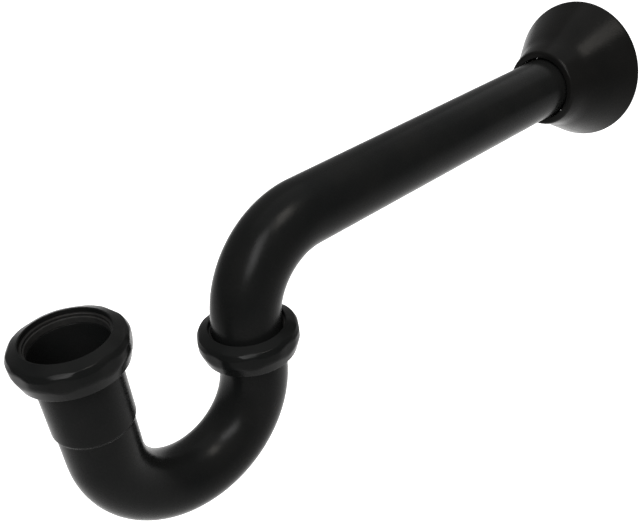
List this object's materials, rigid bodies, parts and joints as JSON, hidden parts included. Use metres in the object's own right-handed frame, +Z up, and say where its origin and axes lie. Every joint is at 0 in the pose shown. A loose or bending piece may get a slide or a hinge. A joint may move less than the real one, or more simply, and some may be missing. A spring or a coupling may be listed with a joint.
{
  "type": "p trap",
  "caption": "Tubular lavatory P trap: a J-bend swivels under a wall bend on a slip joint, an open slip joint takes the tailpiece, and a bell flange slides on the arm.",
  "frame": {"origin": "centre of the inlet socket's mouth, on the axis of the tailpiece that slides into it", "axes": "+Z up out of the inlet socket, +X along the trap arm towards the wall, +Y completes the right-handed set"},
  "size_m": [0.3804, 0.0762, 0.1531],
  "materials": {
    "black_finish": "satin",
    "nut_finish": "satin",
    "flange_finish": "satin",
    "bare_brass": "satin",
    "washer_rubber": "matte",
    "ring_rubber": "matte",
    "ring_plastic": "satin"
  },
  "bodies": {
    "arm": {"wall_bend": "black_finish"},
    "outlet_washer": {"outlet_washer": "washer_rubber"},
    "j_bend": {"j_bend": "black_finish", "inlet_threaded_ferrule": "bare_brass", "outlet_threaded_ferrule": "bare_brass", "inlet_washer": "washer_rubber"},
    "outlet_ring": {"outlet_friction_ring": "ring_plastic"},
    "outlet_nut": {"outlet_slip_nut": "nut_finish"},
    "inlet_ring": {"inlet_friction_ring": "ring_plastic"},
    "inlet_nut": {"inlet_slip_nut": "nut_finish"},
    "flange_ring": {"escutcheon_o_ring": "ring_rubber"},
    "flange": {"escutcheon": "flange_finish"}
  },
  "joints": [
    {"name": "trap_height", "type": "slide", "parent": "arm", "child": "outlet_washer", "axis": [0, 0, 1], "range_m": [-0.004, 0]},
    {"name": "trap_swivel", "type": "hinge", "parent": "outlet_washer", "child": "j_bend", "pos_m": [0.0792, 0, -0.0385], "axis": [0, 0, 1], "range_deg": [-145, 145]},
    {"name": "outlet_ring_lift", "type": "slide", "parent": "j_bend", "child": "outlet_ring", "axis": [0, 0, 1], "range_m": [0, 0.0055]},
    {"name": "outlet_nut_turn", "type": "hinge", "parent": "outlet_ring", "child": "outlet_nut", "pos_m": [0.0792, 0, -0.0385], "axis": [0, 0, 1], "range_deg": [0, 902]},
    {"name": "inlet_ring_lift", "type": "slide", "parent": "j_bend", "child": "inlet_ring", "axis": [0, 0, 1], "range_m": [0, 0.0077]},
    {"name": "inlet_nut_turn", "type": "hinge", "parent": "inlet_ring", "child": "inlet_nut", "pos_m": [0, 0, 0], "axis": [0, 0, 1], "range_deg": [0, 1262]},
    {"name": "flange_slide", "type": "slide", "parent": "arm", "child": "flange_ring", "axis": [1, 0, 0], "range_m": [-0.13, 0]},
    {"name": "flange_spin", "type": "hinge", "parent": "flange_ring", "child": "flange", "pos_m": [0.337, 0, 0.0062], "axis": [1, 0, 0], "continuous": true}
  ],
  "couplings": [
    {"joint": "outlet_nut_turn", "follows": "outlet_ring_lift", "rad_per_m": 2856},
    {"joint": "inlet_nut_turn", "follows": "inlet_ring_lift", "rad_per_m": 2856}
  ]
}
